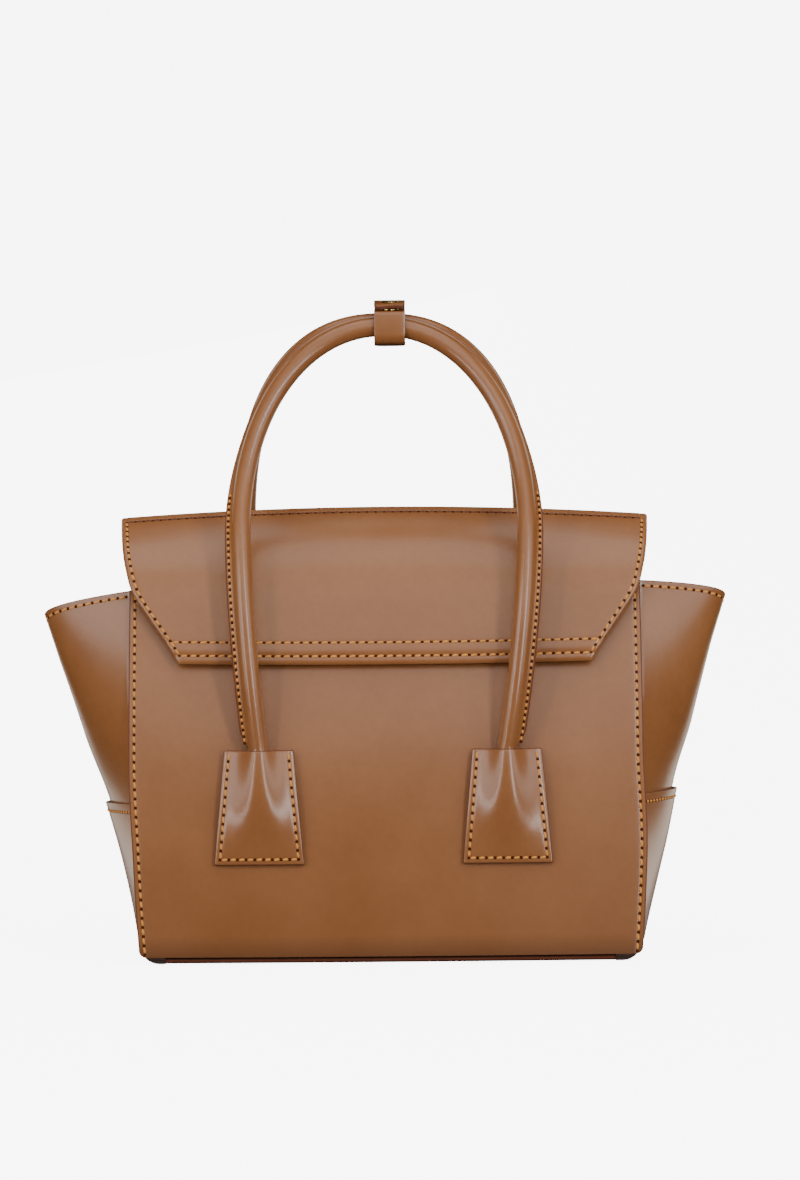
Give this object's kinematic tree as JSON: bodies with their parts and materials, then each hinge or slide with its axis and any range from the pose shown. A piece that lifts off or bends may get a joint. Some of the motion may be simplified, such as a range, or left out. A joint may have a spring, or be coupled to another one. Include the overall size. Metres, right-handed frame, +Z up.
{
  "type": "handbag",
  "caption": "Structured leather handbag with rolled handles tied by a small keeper, a long front flap and folding gussets that open into wings.",
  "frame": {"origin": "centre of the base on the surface the bag stands on", "axes": "+X to the bag's left-to-right as seen from the front, -Y toward the front, +Z up"},
  "size_m": [0.3366, 0.1148, 0.3253],
  "materials": {
    "leather": "semi-gloss smooth saddle leather",
    "edge_leather": "painted edge",
    "suede": "matt suede lining",
    "board": "matt fibre board",
    "cord": "twisted cotton cord",
    "brass": "polished",
    "magnet": "plated"
  },
  "bodies": {
    "root": {"front_panel": "leather", "back_panel": "leather", "front_stiffener": "board", "back_stiffener": "board", "lining_front": "suede", "lining_back": "suede", "lining_left": "suede", "lining_right": "suede", "lining_base": "suede", "base_panel": "edge_leather", "base_board": "board", "left_gusset_lower": "leather", "right_gusset_lower": "leather", "left_gusset_upper": "leather", "right_gusset_upper": "leather", "panel_magnet_left": "magnet", "panel_magnet_right": "magnet", "pocket_zip_frame": "leather", "pocket_zip_tape": "brass", "front_tab_left": "leather", "front_tab_right": "leather", "back_tab_left": "leather", "back_tab_right": "leather", "front_handle_end_left": "leather", "front_handle_end_right": "leather", "back_handle_end_left": "leather", "back_handle_end_right": "leather"},
    "flap": {"flap": "leather", "flap_lining": "suede", "flap_magnet_left": "magnet", "flap_magnet_right": "magnet"},
    "front_handle": {"front_handle_wrap": "leather", "front_handle_core": "cord", "keeper_strap": "leather", "keeper_snap_stud": "brass"},
    "back_handle": {"back_handle_wrap": "leather", "back_handle_core": "cord"},
    "keeper_tab": {"keeper_tab": "leather", "keeper_snap_socket": "brass", "keeper_snap_cap": "brass"},
    "zip_slider": {"pocket_zip_slider": "brass"},
    "zip_puller": {"pocket_zip_puller": "brass"}
  },
  "joints": [
    {"name": "front_handle_fold", "type": "hinge", "parent": "root", "child": "front_handle", "pos_m": [0, -0.05704, 0.1035], "axis": [1, 0, 0], "range_deg": [0, 128], "deforming": ["keeper_strap"]},
    {"name": "flap_open", "type": "hinge", "parent": "root", "child": "flap", "pos_m": [0, 0.0053, 0.222], "axis": [-1, 0, 0], "range_deg": [0, 130]},
    {"name": "back_handle_fold", "type": "hinge", "parent": "root", "child": "back_handle", "pos_m": [0, 0.05704, 0.1035], "axis": [-1, 0, 0], "range_deg": [0, 128], "deforming": ["keeper_strap"]},
    {"name": "keeper_tab_lift", "type": "hinge", "parent": "front_handle", "child": "keeper_tab", "pos_m": [0, 0.0144, 0.3235], "axis": [-1, 0, 0], "range_deg": [0, 150]},
    {"name": "zip_slide", "type": "slide", "parent": "root", "child": "zip_slider", "axis": [1, 0, 0], "range_m": [-0.058, 0.058]},
    {"name": "zip_puller_swing", "type": "hinge", "parent": "zip_slider", "child": "zip_puller", "pos_m": [0, 0.02948, 0.12866], "axis": [-1, 0, 0], "range_deg": [-5, 140]}
  ],
  "couplings": [
    {"joint": "flap_open", "follows": "front_handle_fold", "ratio": 1}
  ]
}
